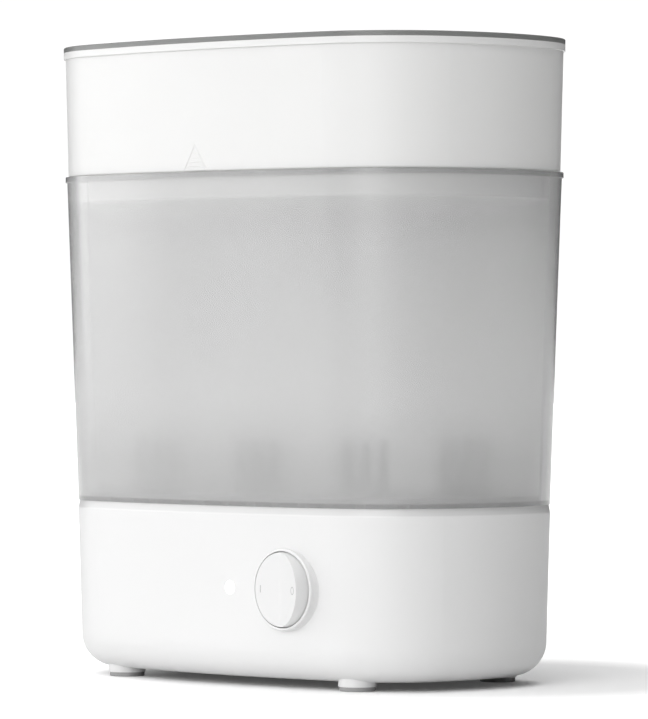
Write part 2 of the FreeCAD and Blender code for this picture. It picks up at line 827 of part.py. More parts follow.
def switch_body():
    body = new_body("switch_body")
    centre = (d.switch_x, d.switch_z)
    front = d.collar_back
    flange_back = d.collar_back - d.switch_flange
    pad_circles(body, "Flange", "XZ_Plane", [centre], d.collar_radius - 0.2,
                flange_back, d.switch_flange)
    pad_circles(body, "Ears", "XZ_Plane", switch_ears, d.ear_radius, flange_back, d.switch_flange)
    box = new_sketch(body, "BoxSketch", "XZ_Plane", flange_back)
    box_outline(box, d.switch_x - d.switch_half_width, d.switch_z - d.switch_half_height,
                d.switch_x + d.switch_half_width, d.switch_z + d.switch_half_height)
    pad(body, "Box", box, flange_back - d.switch_back, back=True)
    inner_width = d.switch_half_width - d.switch_wall
    inner_height = d.switch_half_height - d.switch_wall
    cavity = new_sketch(body, "CavitySketch", "XZ_Plane", front + 1)
    box_outline(cavity, d.switch_x - inner_width, d.switch_z - inner_height,
                d.switch_x + inner_width, d.switch_z + inner_height)
    pocket(body, "Cavity", cavity, front + 1 - d.switch_back - d.switch_wall)
    for name, low in (("LowerLug", -9.4), ("UpperLug", 6.8)):
        lug = new_sketch(body, name + "Sketch", "XY_Plane", d.switch_z + low, x=d.switch_x)
        outline(lug, [(2.4, 0.5 - front), (2.4, pivot_y),
                      (-2.4, pivot_y, -2.45), (-2.4, 0.5 - front)])
        pad(body, name, lug, 2.6)
    bore = new_sketch(body, "PinBoreSketch", "XY_Plane", d.switch_z + 12, x=d.switch_x)
    circle(bore, 0, pivot_y, d.pin_radius + d.slip)
    pocket(body, "PinBore", bore, 24)
    stop = new_sketch(body, "StopSketch", "XZ_Plane", d.switch_back + d.switch_wall)
    box_outline(stop, d.switch_x - 8.8, d.switch_z - 3, d.switch_x - 7.2, d.switch_z + 3)
    pad(body, "Stop", stop, 6.1)
    blade_slots = new_sketch(body, "BladeSlotSketch", "XZ_Plane", d.switch_back + d.switch_wall + 1)
    for offset in (0, 8):
        box_outline(blade_slots, d.switch_x + offset - 0.5, d.switch_z - 3.3,
                    d.switch_x + offset + 0.5, d.switch_z + 3.3)
    pocket(body, "BladeSlots", blade_slots, d.switch_wall + 2)
    cut_circles(body, "EarHoles", "XZ_Plane", switch_ears, 1.6, front + 1, 4)


def switch_contacts():
    for name, offset, front in (("common_terminal", 0, 54.9), ("load_terminal", 8, 52.5)):
        body = new_body(name)
        blade = new_sketch(body, "BladeSketch", "XZ_Plane", 38)
        box_outline(blade, d.switch_x + offset - 0.4, d.switch_z - 3.15,
                    d.switch_x + offset + 0.4, d.switch_z + 3.15)
        pad(body, "Blade", blade, front - 38)
    pad_circles(body, "Rivet", "XZ_Plane", [(d.switch_x + 8, d.switch_z)], 1.5, front, 0.6)

    bridge = new_body("contact_bridge")
    pad_box(bridge, "Leaf", (-9, -0.4), (9, 0.4), -3, 6)
    pad_circles(bridge, "Rivet", "XZ_Plane", [(8, 0)], 1.5, -0.4, 0.6, back=True)
    put(bridge, d.switch_x, bridge_y, d.switch_z, turn=d.bridge_tilt_degrees)


def put_on_pivot(body):
    """Place a part of the rocker on its pin, tipped so that the left half is pressed in."""
    put(body, d.switch_x, pivot_y, d.switch_z, turn=-d.rocker_tilt_degrees)


def rocker_button():
    body = new_body("rocker_button")
    section = new_sketch(body, "Section", "XY_Plane")
    front = 9.5
    square = d.button_radius * d.button_radius
    outline(section, [
        (0, -front),
        (root(square - front * front), -front),
        (root(square - d.button_skirt * d.button_skirt), d.button_skirt, d.button_radius),
        (17.2, d.button_skirt),
        (16.4, -2.4),
        (0, -1.9),
    ])
    revolve(body, "Cap", section)
    slope = math.tan(math.radians(number(d.button_dish_degrees)))
    crease_half = 1.2
    crease = -d.button_crease - crease_half * slope
    rise = (25 - crease_half) * slope
    dish = new_sketch(body, "DishSketch", "XY_Plane", 25)
    outline(dish, [
        (-25, crease - rise),
        (-crease_half, crease),
        (crease_half, crease, -8),
        (25, crease - rise),
        (25, -20),
        (-25, -20),
    ])
    pocket(body, "Dish", dish, 50)
    pad_box(body, "Hub", (-2.6, -3), (2.6, 4), -5.5, 11)
    pad_box(body, "Leg", (-2, 3.5), (2, 17), -3, 6)
    cut_circles(body, "HubBore", "XY_Plane", [(0, 0)], d.pin_radius + d.slip, 6, 12)
    cut_circles(body, "PlungerHole", "XZ_Plane", [(0, 0)], 1.25, -9, 9)
    put_on_pivot(body)

    plunger = new_body("switch_plunger")
    tip = new_sketch(plunger, "Section", "XY_Plane")
    outline(tip, [(0, 13), (1.2, 13), (1.2, 19.5), (0, 20.7, 1.2)])
    revolve(plunger, "Tip", tip)
    put_on_pivot(plunger)

    spring = new_body("plunger_spring")
    coil = new_sketch(spring, "Section", "XY_Plane")
    outline(coil, [(0.7, 9.1), (1.2, 9.1), (1.2, 12.9), (0.7, 12.9)])
    revolve(spring, "Coil", coil)
    put_on_pivot(spring)


def rocker_pin():
    pin = doc.addObject("Part::Cylinder", "rocker_pin")
    pin.Label = "rocker_pin"
    bind(pin, "Radius", d.pin_radius)
    bind(pin, "Height", d.pin_length)
    put(pin, d.switch_x, pivot_y, d.switch_z - d.pin_length / 2)
    finished.append(pin)


def indicator():
    lens = new_body("indicator_lens")
    section = new_sketch(lens, "Section", "XY_Plane", d.switch_z, x=d.lamp_x)
    outline(section, [
        (0, -d.lens_front),
        (d.lens_radius, 0.45 - d.lens_front, 15.85),
        (d.lens_radius, -77.6),
        (5, -77.6),
        (5, -76.4),
        (2.5, -76.4),
        (2.5, -73.2),
        (0, -73.2),
    ])
    revolve(lens, "Lens", section)

    lamp = new_body("indicator_led")
    bulb = new_sketch(lamp, "Section", "XY_Plane", d.switch_z, x=d.lamp_x)
    outline(bulb, [(0, -d.board_front), (0, -72.9), (2.5, -70.4, 2.5), (2.5, -d.board_front)])
    revolve(lamp, "Bulb", bulb)

    board = new_body("indicator_board")
    half = d.board_size / 2
    pad_box(board, "Board", (d.lamp_x - half, -d.board_front),
            (d.lamp_x + half, d.board_thickness - d.board_front), d.switch_z - half, d.board_size)
    cut_circles(board, "BoardHoles", "XZ_Plane", board_holes, 1.2, d.board_front + 1, 3)


# ---- wiring ---------------------------------------------------------------------------------

def terminal_block():
    body = new_body("terminal_block")
    pad_box(body, "Block", (-100, 28), (-70, 42), 60, 12)
    tunnels = [(-96, 66), (-90, 66), (-84, 66), (-73.5, 66)]
    cut_circles(body, "Tunnels", "XZ_Plane", tunnels, 2.2, -27, 16)
    cut_circles(body, "BlockHole", "XY_Plane", block_hole, 1.6, 73, 14)
    inserts = new_body("terminal_inserts")
    sketch = new_sketch(inserts, "InsertSketch", "XZ_Plane", -30.5)
    for across, up in tunnels:
        circle(sketch, across, up, 2.15)
        circle(sketch, across, up, 1.3)
    pad(inserts, "Inserts", sketch, 11, back=True)


def element_pin(side, reach):
    """A point on the axis of a heater pin, at a distance from the end of the tube."""
    angle = math.radians(number(d.element_gap_degrees))
    radius = number(d.element_radius)
    start = V(radius * math.cos(angle), side * radius * math.sin(angle), number(element_level))
    return start + V(math.sin(angle), -side * math.cos(angle), 0) * reach


def wiring():
    """Insulated leads between the terminals; each list is the lead's route."""
    thick, thin = 1.1, 0.7
    leads = {
        "live_lead": [(-90, 30, 66), (-90, 16, 62), (-86, -4, 50), (-66, -26, 38), (-28, -38, 32),
                      (14, -40, 32), (42, -34, 36), (57, -24, 43), (62, -26, 52.3),
                      (62, -38, 52.3)],
        "switched_lead": [(70, -38, 52.3), (70, -27, 52.3), (60, -14, 46), (40, -5, 42),
                          (20, -1, 41), (4.5, 0, 43), (4.5, 0, 52.7)],
        "fuse_lead": [(-4.5, 0, 52.7), (-4.5, 0, 45), (-9, 5, 41), (-17, 12, 44), (-21, 16, 53),
                      (-19, 18, 61), (-14.5, 18, 65.4), (-7.8, 18, 65.4)],
        "heater_lead": [(7.8, 18, 65.4), (14.5, 18, 65.4), (19, 18.5, 60), (25, 19, 54),
                        (33, 14, 53), (37.5, 6, 58), element_pin(1, 13), element_pin(1, 8.1)],
        "neutral_lead": [(-84, 30, 66), (-83, 17, 61), (-74, 2, 53), (-50, -14, 47),
                         (-20, -24, 46), (10, -30, 47), (34, -26, 50), (42, -14, 54),
                         (38, -6, 60), element_pin(-1, 13), element_pin(-1, 8.1)],
        "earth_lead": [(-73.5, 30, 66), (-73.5, 20, 63), (-69, 8, 61), (-61.5, 0, 66),
                       (-61.5, 0, 77.3)],
        "lamp_lead": [(18, -65.9, 46), (18, -57, 46), (4, -50, 42), (-28, -50, 42),
                      (-60, -42, 43), (-84, -23, 46), (-95, -2, 53), (-96, 16, 60),
                      (-96, 30, 66)],
    }
    for name, route in leads.items():
        wire_part(name, wire(name, route, thin if name == "lamp_lead" else thick))


# ---- baskets, plate and lid -----------------------------------------------------------------

def slots(body, half_width, half_length, rows, row_pitch, columns, column_pitch, lift, depth):
    """Rows of steam slots cut down from a level and repeated across the floor."""
    reach = column_pitch * (columns - 1) / 2
    sketch = new_sketch(body, "SlotSketch", "XY_Plane", lift)
    for row in range(rows):
        middle = (row - (rows - 1) / 2) * row_pitch
        box_outline(sketch, -reach - half_width, middle - half_length,
                    half_width - reach, middle + half_length)
    column = pocket(body, "SlotColumn", sketch, depth)
    repeat(body, "SlotColumns", column, sketch, "H_Axis", 2 * reach, columns)


def large_basket():
    body = new_body("large_basket")
    inner_bottom = d.large_bottom_inset + d.large_wall - 0.1
    inner_top = d.large_top_inset + d.large_wall
    floor_top = d.base_top + d.large_floor_thickness
    wall(body, "Shell", [
        (d.large_flange_inset, d.large_top),
        (d.large_flange_inset, d.large_flange_level),
        (d.large_top_inset, d.large_flange_level),
        (d.large_bottom_inset, d.base_top),
        (inner_bottom + 2, d.base_top),
        (inner_bottom + 2, floor_top),
        (inner_bottom, floor_top),
        (inner_top, d.large_top),
    ])
    floor = new_sketch(body, "FloorSketch", "XY_Plane", d.base_top)
    oval(floor, d.large_bottom_inset + 1.5)
    pad(body, "Floor", floor, d.large_floor_thickness)
    rib = new_sketch(body, "LocatingSketch", "XY_Plane", d.base_top)
    oval(rib, d.locating_inset)
    oval(rib, d.locating_inset + d.locating_wall)
    pad(body, "LocatingRib", rib, d.locating_depth, back=True)
    slots(body, 3, 10, 4, 27, 11, 18, floor_top + 1, d.large_floor_thickness + 2)


def bottle_plate():
    body = new_body("bottle_plate")
    level = d.base_top + d.large_floor_thickness
    top = level + d.bottle_plate_thickness
    sketch = new_sketch(body, "PlateSketch", "XY_Plane", level)
    oval(sketch, d.bottle_plate_inset)
    pad(body, "Plate", sketch, d.bottle_plate_thickness)
    pad_circles(body, "Hubs", "XY_Plane", bottle_places, 13, top, 3)
    prongs = new_sketch(body, "ProngSketch", "XY_Plane", top)
    for x, y in bottle_places:
        for quarter in range(4):
            angle = math.radians(45 + 90 * quarter)
            circle(prongs, x + d.prong_ring_radius * math.cos(angle),
                   y + d.prong_ring_radius * math.sin(angle), d.prong_radius)
    pad(body, "Prongs", prongs, d.prong_height, taper=-1.5)
    cut_circles(body, "HubHoles", "XY_Plane", bottle_places, 6, top + 4, 8)
    between = [(x, y) for x in (-39, 39) for y in (-37, 0, 37)]
    cut_circles(body, "SteamHoles", "XY_Plane", between, 9, top + 1, 5)
    cut_circles(body, "EndHoles", "XY_Plane", [(x, 0) for x in (-112, -78, 0, 78, 112)], 7,
                top + 1, 5)


def small_basket():
    body = new_body("small_basket")
    edge = d.small_edge_radius
    seat = d.large_top
    floor_top = d.small_skirt_bottom + d.small_floor_thickness
    wall(body, "Shell", [
        (d.small_lip_inset, d.small_top),
        (d.small_lip_inset, d.small_lip_level),
        (d.small_top_inset, d.small_lip_level),
        (d.small_bottom_inset, seat + edge),
        (d.small_bottom_inset + edge, seat, -edge),
        (d.small_skirt_inset, seat),
        (d.small_skirt_inset + 0.5, d.small_skirt_bottom),
        (d.small_skirt_inset + 2.3, d.small_skirt_bottom),
        (d.small_skirt_inset + 2, seat + 0.8),
        (d.small_bottom_inset + d.small_wall + 0.1, seat + 3),
        (d.small_top_inset + d.small_wall + 0.1, d.small_lip_level),
        (d.small_top_inset + d.small_wall + 0.1, d.small_top),
    ])
    floor = new_sketch(body, "FloorSketch", "XY_Plane", d.small_skirt_bottom)
    oval(floor, d.small_skirt_inset + 1.4)
    pad(body, "Floor", floor, d.small_floor_thickness)
    slots(body, 2, 11, 4, 29, 17, 12, floor_top + 1, d.small_floor_thickness + 2)


def rounded_box(sketch, half_length, half_width, radius):
    """A rectangle about the origin with round corners."""
    flat_x = half_length - radius
    flat_y = half_width - radius
    outline(sketch, [
        (flat_x, -half_width), (half_length, -flat_y, radius),
        (half_length, flat_y), (flat_x, half_width, radius),
        (-flat_x, half_width), (-half_length, flat_y, radius),
        (-half_length, -flat_y), (-flat_x, -half_width, radius),
    ])


def lid():
    body = new_body("lid")
    seat = d.small_top
    panel_top = seat + d.lid_thickness - 0.4
    wall(body, "Rim", [
        (0, seat),
        (0, d.lid_top - 0.6),
        (0.6, d.lid_top, 0.6),
        (3, d.lid_top),
        (3, seat),
    ])
    panel = new_sketch(body, "PanelSketch", "XY_Plane", seat)
    oval(panel, 2)
    pad(body, "Panel", panel, panel_top - seat)
    wall(body, "Skirt", [
        (d.lid_skirt_inset, seat + 0.5),
        (d.lid_skirt_inset, d.lid_skirt_bottom),
        (d.lid_skirt_inset + d.lid_skirt_wall, d.lid_skirt_bottom),
        (d.lid_skirt_inset + d.lid_skirt_wall, seat + 0.5),
    ])
    shell = 2
    bowl = new_sketch(body, "BowlSketch", "XY_Plane", d.recess_floor - shell)
    rounded_box(bowl, d.recess_half_length + shell, d.recess_half_width + shell, 28)
    pad(body, "Bowl", bowl, panel_top - d.recess_floor + shell)
    recess = new_sketch(body, "RecessSketch", "XY_Plane", d.lid_top)
    rounded_box(recess, d.recess_half_length, d.recess_half_width, 26)
    pocket(body, "Recess", recess, d.lid_top - d.recess_floor)
    grip = new_sketch(body, "GripSketch", "XY_Plane", d.recess_floor - 1)
    rounded_box(grip, d.grip_half_length, d.grip_half_width, 6)
    block = pad(body, "Grip", grip, d.grip_top - d.recess_floor + 1)
    doc.recompute()
    fillet(body, "GripRounding", block, top_edges(block, number(d.grip_top)), 2.5)
    hollow = new_sketch(body, "HollowSketch", "XY_Plane", d.grip_top - 3)
    rounded_box(hollow, d.grip_half_length - shell, d.grip_half_width - shell, 4)
    pocket(body, "GripHollow", hollow, d.grip_top - d.recess_floor + 1)
    vents = [(x, y) for x in (-108, 108) for y in (-20, -10, 0, 10, 20)]
    cut_circles(body, "Vents", "XY_Plane", vents, 2, d.lid_top, 6)


# ---- build, check and write -----------------------------------------------------------------

def check():
    failed = [item for item in doc.Objects if "Invalid" in item.State or "Error" in item.State]
    if failed:
        raise RuntimeError("failed: " + ", ".join("%s of %s" % (item.Name, item.getParent() and
                           item.getParent().Label) for item in failed))
    for item in finished:
        if item.Shape.isNull() or not item.Shape.isValid():
            raise RuntimeError("%s has no valid shape" % item.Label)
    for item in doc.Objects:
        if item.TypeId in ("PartDesign::Pocket", "PartDesign::Groove"):
            if item.Shape.Volume > item.BaseFeature.Shape.Volume - 0.01:
                raise RuntimeError("%s cuts nothing" % item.Name)


def write():
    os.makedirs("parts", exist_ok=True)
    for item in finished:
        item.Shape.exportStep("parts/%s.step" % item.Label)
        print("%-24s %9.1f mm3, %d solids" % (item.Label, item.Shape.Volume,
                                              len(item.Shape.Solids)))
    print("%d nodes" % len(finished))


base_housing()
bottom_cover()
foot_pads()
cord_entry()
base_fasteners()
heating_plate()
plate_seal()
plate_clamp_ring()
heat_diffuser()
heater_element()
thermostat()
thermal_fuse()
switch_body()
switch_contacts()
rocker_button()
rocker_pin()
indicator()
terminal_block()
wiring()
large_basket()
bottle_plate()
small_basket()
lid()
doc.recompute()
check()
write()
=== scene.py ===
"""Looks of an electric steam steriliser for feeding bottles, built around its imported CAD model."""

import math

import bmesh
import bpy
from mathutils import Matrix, Vector
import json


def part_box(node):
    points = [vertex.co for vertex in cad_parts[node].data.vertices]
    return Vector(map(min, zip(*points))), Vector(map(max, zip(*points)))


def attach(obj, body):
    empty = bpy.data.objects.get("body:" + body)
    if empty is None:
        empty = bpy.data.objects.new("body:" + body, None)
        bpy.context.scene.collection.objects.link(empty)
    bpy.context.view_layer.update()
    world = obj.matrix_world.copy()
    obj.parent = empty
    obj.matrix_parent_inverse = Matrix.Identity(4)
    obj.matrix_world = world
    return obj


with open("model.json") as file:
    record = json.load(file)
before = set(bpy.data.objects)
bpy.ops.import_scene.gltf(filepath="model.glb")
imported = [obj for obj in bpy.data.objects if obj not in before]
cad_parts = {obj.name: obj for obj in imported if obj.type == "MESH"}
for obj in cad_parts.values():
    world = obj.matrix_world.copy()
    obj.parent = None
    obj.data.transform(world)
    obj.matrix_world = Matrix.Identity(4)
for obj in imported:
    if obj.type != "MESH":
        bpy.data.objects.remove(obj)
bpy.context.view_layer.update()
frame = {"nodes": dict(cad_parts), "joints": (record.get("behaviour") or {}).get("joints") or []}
MM = 0.001


# ---- node helpers ---------------------------------------------------------------------------

class Graph:
    """Short calls that add nodes to a tree and link them."""

    def __init__(self, tree):
        self.tree = tree

    def fill(self, socket, value):
        if isinstance(value, bpy.types.NodeSocket):
            self.tree.links.new(value, socket)
        else:
            socket.default_value = value

    def node(self, kind, inputs=(), **settings):
        made = self.tree.nodes.new("ShaderNode" + kind)
        for key, value in settings.items():
            setattr(made, key, value)
        for key, value in dict(inputs).items():
            self.fill(made.inputs[key], value)
        return made

    def span(self, value, low, high, start=0.3, end=0.7, kind="LINEAR"):
        """A value from start to end, carried to low to high."""
        inputs = {"Value": value, "From Min": start, "From Max": end, "To Min": low, "To Max": high}
        return self.node("MapRange", inputs, interpolation_type=kind).outputs["Result"]

    def sum(self, first, second, share=1.0):
        """The first value times a share, and the second added."""
        inputs = {0: first, 1: share, 2: second}
        return self.node("Math", inputs, operation="MULTIPLY_ADD").outputs[0]


class Recipe(Graph):
    """A new material with one Principled shader."""

    def __init__(self, name, **values):
        self.material = bpy.data.materials.new(name)
        self.material.use_nodes = True
        super().__init__(self.material.node_tree)
        self.shader = self.tree.nodes["Principled BSDF"]
        for key, value in values.items():
            self.set(key.replace("_", " ").title().replace("Ior", "IOR"), value)
        self.place = self.node("TexCoord").outputs["Object"]

    def set(self, name, value):
        self.fill(self.shader.inputs[name], value)

    def noise(self, scale, detail=3.0, stretch=None):
        """Noise over the row frame, in features per metre, stretched along the axes if asked."""
        place = self.place
        if stretch:
            place = self.node("Mapping", {"Vector": place, "Scale": stretch}).outputs[0]
        inputs = {"Vector": place, "Scale": scale, "Detail": detail, "Roughness": 0.55}
        return self.node("TexNoise", inputs).outputs["Fac"]

    def tint(self, value, first, second, start=0.3, end=0.7):
        """A colour between two, by a value."""
        ramp = self.node("ValToRGB", {"Fac": value})
        ramp.color_ramp.elements[0].position = start
        ramp.color_ramp.elements[0].color = (*first, 1)
        ramp.color_ramp.elements[1].position = end
        ramp.color_ramp.elements[1].color = (*second, 1)
        return ramp.outputs["Color"]

    def graded(self, colour, stops):
        """A colour dimmed by height; stops are (height in mm, factor), lowest first."""
        height = self.node("SeparateXYZ", {"Vector": self.place}).outputs["Z"]
        low, high = stops[0][0], stops[-1][0]
        share = self.span(height, 0.0, 1.0, low * MM, high * MM)
        ramp = self.node("ValToRGB", {"Fac": share})
        elements = ramp.color_ramp.elements
        while len(elements) < len(stops):
            elements.new(0.5)
        for element, (level, factor) in zip(elements, stops):
            element.position = (level - low) / (high - low)
            element.color = (factor, factor, factor, 1)
        inputs = {0: colour, 1: ramp.outputs["Color"]}
        return self.node("VectorMath", inputs, operation="MULTIPLY").outputs[0]

    def bump(self, height, distance):
        inputs = {"Height": height, "Distance": distance, "Strength": 1.0}
        self.set("Normal", self.node("Bump", inputs).outputs["Normal"])


def grey(level):
    return (level, level, level)


def shade(colour, factor):
    return tuple(channel * factor for channel in colour)


# ---- materials ------------------------------------------------------------------------------

def moulded(name, colour, roughness, grain=0.000015, stops=()):
    """Moulded plastic: fine spark-eroded grain, faint flow clouds and uneven gloss.

    The grain is how deep it is, in metres; stops, if any, dim the colour by height.
    """
    recipe = Recipe(name, ior=1.5)
    clouds = recipe.noise(scale=9, detail=2)
    tone = recipe.tint(clouds, shade(colour, 0.985), colour)
    recipe.set("Base Color", recipe.graded(tone, stops) if stops else tone)
    recipe.set("Roughness", recipe.span(recipe.noise(scale=60, detail=4), roughness - 0.03, roughness + 0.03))
    recipe.bump(recipe.sum(recipe.noise(scale=2600, detail=3), clouds, 0.6), grain)
    return recipe.material


def frosted(name, colour, clear, roughness, veil, coat=0.0, stops=()):
    """Frosted polypropylene that blurs what is behind it, cloudy where it flowed.

    Clear is the share of light let through, and coat the share of gloss over it. Lamps and light
    from matte surfaces pass straight through the share called veil. Stops, if any, dim the colour
    by height.
    """
    recipe = Recipe(name, ior=1.45, transmission_weight=clear, coat_weight=coat,
                    coat_roughness=0.16)
    clouds = recipe.noise(scale=11, detail=3, stretch=(1, 1, 0.5))
    tone = recipe.tint(clouds, shade(colour, 0.98), colour)
    if stops:
        tone = recipe.graded(tone, stops)
    recipe.set("Base Color", tone)
    recipe.set("Roughness", recipe.span(clouds, roughness - 0.02, roughness + 0.02))
    recipe.bump(recipe.noise(scale=500, detail=3), 0.000004)
    path = recipe.node("LightPath").outputs
    inputs = {0: path["Is Shadow Ray"], 1: path["Is Diffuse Ray"]}
    soft = recipe.node("Math", inputs, operation="MAXIMUM").outputs[0]
    matte = recipe.node("BsdfDiffuse", {"Color": tone})
    open_way = recipe.node("BsdfTransparent", {"Color": tone})
    thin = recipe.node("MixShader", {0: veil, 1: matte.outputs[0], 2: open_way.outputs[0]})
    both = recipe.node("MixShader", {0: soft, 1: recipe.shader.outputs[0], 2: thin.outputs[0]})
    recipe.fill(recipe.tree.nodes["Material Output"].inputs["Surface"], both.outputs[0])
    return recipe.material


def rubber(name, colour):
    """Matte rubber with a fine pebbled skin and dusty lighter patches."""
    recipe = Recipe(name, ior=1.47)
    dust = recipe.noise(scale=120, detail=5)
    recipe.set("Base Color", recipe.tint(dust, colour, shade(colour, 1.18)))
    recipe.set("Roughness", recipe.span(dust, 0.62, 0.8))
    pebbles = recipe.node("TexVoronoi", {"Vector": recipe.place, "Scale": 1900})
    recipe.bump(pebbles.outputs["Distance"], 0.00004)
    return recipe.material


def turned_steel(name, colour):
    """Stainless steel spun about the part's upright axis, with rings of fine scratches."""
    recipe = Recipe(name, metallic=1.0)
    parts = recipe.node("SeparateXYZ", {"Vector": recipe.place})
    flat = recipe.node("CombineXYZ", {"X": parts.outputs["X"], "Y": parts.outputs["Y"]})
    radius = recipe.node("VectorMath", {0: flat.outputs[0]}, operation="LENGTH").outputs["Value"]
    rings_at = recipe.node("CombineXYZ", {"X": radius, "Y": parts.outputs["Z"]}).outputs[0]
    inputs = {"Vector": rings_at, "Scale": 3800, "Detail": 3}
    rings = recipe.node("TexNoise", inputs).outputs["Fac"]
    spots = recipe.noise(scale=45, detail=4)
    recipe.set("Base Color", recipe.tint(spots, shade(colour, 0.9), colour))
    recipe.set("Roughness", recipe.span(rings, 0.2, 0.36))
    recipe.bump(recipe.sum(rings, spots, 0.5), 0.00001)
    return recipe.material


def plated(name, colour, roughness=0.3):
    """Plated or rolled metal with a fine grain along X and dull handling marks."""
    recipe = Recipe(name, metallic=1.0)
    marks = recipe.noise(scale=150, detail=5)
    grain = recipe.noise(scale=2200, detail=2, stretch=(0.08, 1, 1))
    recipe.set("Base Color", recipe.tint(marks, shade(colour, 0.86), colour))
    recipe.set("Roughness", recipe.span(marks, roughness - 0.07, roughness + 0.1))
    recipe.bump(grain, 0.00001)
    return recipe.material


def board_skin(name):
    """Green solder mask over raised tracks."""
    recipe = Recipe(name, ior=1.5, roughness=0.35)
    place = recipe.node("Mapping", {"Vector": recipe.place, "Rotation": (math.pi / 2, 0, 0)})
    tracks = recipe.node("TexBrick", {
        "Vector": place.outputs[0], "Scale": 260.0, "Mortar Size": 0.03,
        "Color1": (0.02, 0.12, 0.05, 1), "Color2": (0.015, 0.1, 0.045, 1),
        "Mortar": (0.06, 0.26, 0.1, 1),
    })
    recipe.set("Base Color", tracks.outputs["Color"])
    recipe.bump(tracks.outputs["Fac"], 0.00003)
    return recipe.material


def glowing(name, colour, strength):
    """Clear epoxy, lit from inside, a little uneven."""
    recipe = Recipe(name, ior=1.5, roughness=0.2)
    haze = recipe.noise(scale=900, detail=2)
    recipe.set("Base Color", recipe.tint(haze, shade(colour, 0.94), colour))
    recipe.set("Emission Color", (*colour, 1))
    recipe.set("Emission Strength", recipe.span(haze, strength * 0.95, strength))
    recipe.bump(haze, 0.00001)
    return recipe.material


# Painted shade: the bevel round the base's top is dimmed a tone darker than the wall below it
BASE_PAINTED_SHADE = [(90.8, 1), (91.6, 0.85), (94.9, 0.85)]
# Painted shade on the large basket's wall, dimmed by height: darkest by the bottle plate's prongs, a
# little dark just under the small basket's skirt, and grey in its flange
BASKET_PAINTED_SHADE = [
    (90, 0.94), (97, 0.91), (116, 0.88), (130, 0.925), (150, 0.97), (232, 0.97),
    (243, 0.945), (254.5, 0.945), (256.5, 1), (266.8, 1), (267.1, 0.78), (269.8, 0.78),
]

white = moulded("white_plastic", grey(0.735), 0.36, stops=BASE_PAINTED_SHADE)
# Painted shade: the rocker's white is a tone darker than the housing's, for the grey of its face
shaded_button_white = moulded("button_plastic", grey(0.7), 0.34)
inner_white = moulded("inner_white_plastic", (0.68, 0.68, 0.66), 0.5, grain=0.00003)
dark = moulded("dark_plastic", grey(0.02), 0.45)
printed = moulded("mark_grey", grey(0.42), 0.4)
pearl = frosted("pearl_plastic", (0.79, 0.79, 0.785), clear=0.08, roughness=0.36, veil=0.3)
smoke = frosted("frosted_plastic", grey(0.965), clear=0.74, roughness=0.25, veil=0.5, coat=0.7,
                stops=BASKET_PAINTED_SHADE)
lid_smoke = frosted("lid_plastic", (0.27, 0.274, 0.27), clear=0.3, roughness=0.3, veil=0.6)
# Painted shade: the bottle plate is near black so that its prongs show as dark blotches through the frosted
# wall
plate_painted_dark = moulded("bottle_plate_plastic", (0.075, 0.077, 0.077), 0.45)
pad_rubber = rubber("grey_rubber", grey(0.3))
seal_rubber = rubber("seal_rubber", (0.5, 0.5, 0.48))
spun = turned_steel("spun_steel", grey(0.62))
zinc = plated("plated_steel", (0.55, 0.55, 0.56))
cast = plated("cast_aluminium", (0.68, 0.68, 0.69), 0.42)
brass = plated("brass", (0.72, 0.5, 0.2), 0.28)
board = board_skin("solder_mask")
lens = glowing("lens_milky", (0.96, 0.97, 1.0), 0.42)
diode = glowing("diode_clear", (0.95, 0.97, 1.0), 6.0)
brown = moulded("brown_sleeve", (0.09, 0.035, 0.015), 0.4)
blue = moulded("blue_sleeve", (0.012, 0.045, 0.22), 0.4)
green = moulded("earth_sleeve", (0.13, 0.33, 0.03), 0.4)

FINISHES = {
    white: "base_housing",
    shaded_button_white: "rocker_button",
    inner_white: "bottom_cover cord_clamp terminal_block switch_body",
    dark: "switch_plunger",
    smoke: "large_basket",
    lid_smoke: "lid",
    pearl: "small_basket",
    plate_painted_dark: "bottle_plate",
    pad_rubber: "foot_pad_front_left foot_pad_front_right foot_pad_rear_left foot_pad_rear_right"
                " cord_gland",
    seal_rubber: "plate_seal",
    spun: "heating_plate plate_clamp_ring heat_diffuser heater_element",
    zinc: "cord_clamp_screws cover_screws clamp_ring_screws switch_screws board_screws"
          " bracket_screws fuse_clip_screw terminal_block_screw heater_pins thermostat_bracket"
          " fuse_clip rocker_pin plunger_spring",
    cast: "thermostat thermal_fuse",
    brass: "common_terminal load_terminal contact_bridge terminal_inserts",
    board: "indicator_board",
    lens: "indicator_lens",
    diode: "indicator_led",
    brown: "live_lead switched_lead fuse_lead heater_lead",
    blue: "neutral_lead lamp_lead",
    green: "earth_lead",
}
for finish, names in FINISHES.items():
    for name in names.split():
        node = frame["nodes"][name]
        if not node.material_slots:
            node.data.materials.append(finish)
        for held in node.material_slots:
            held.material = finish


# ---- added pieces ---------------------------------------------------------------------------

def piece(name, shape, finish, body):
    """Turn a bmesh into a piece that rides on a CAD body."""
    mesh = bpy.data.meshes.new(name)
    bmesh.ops.recalc_face_normals(shape, faces=shape.faces)
    shape.to_mesh(mesh)
    shape.free()
    mesh.materials.append(finish)
    item = bpy.data.objects.new(name, mesh)
    bpy.context.scene.collection.objects.link(item)
    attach(item, body)
    return item


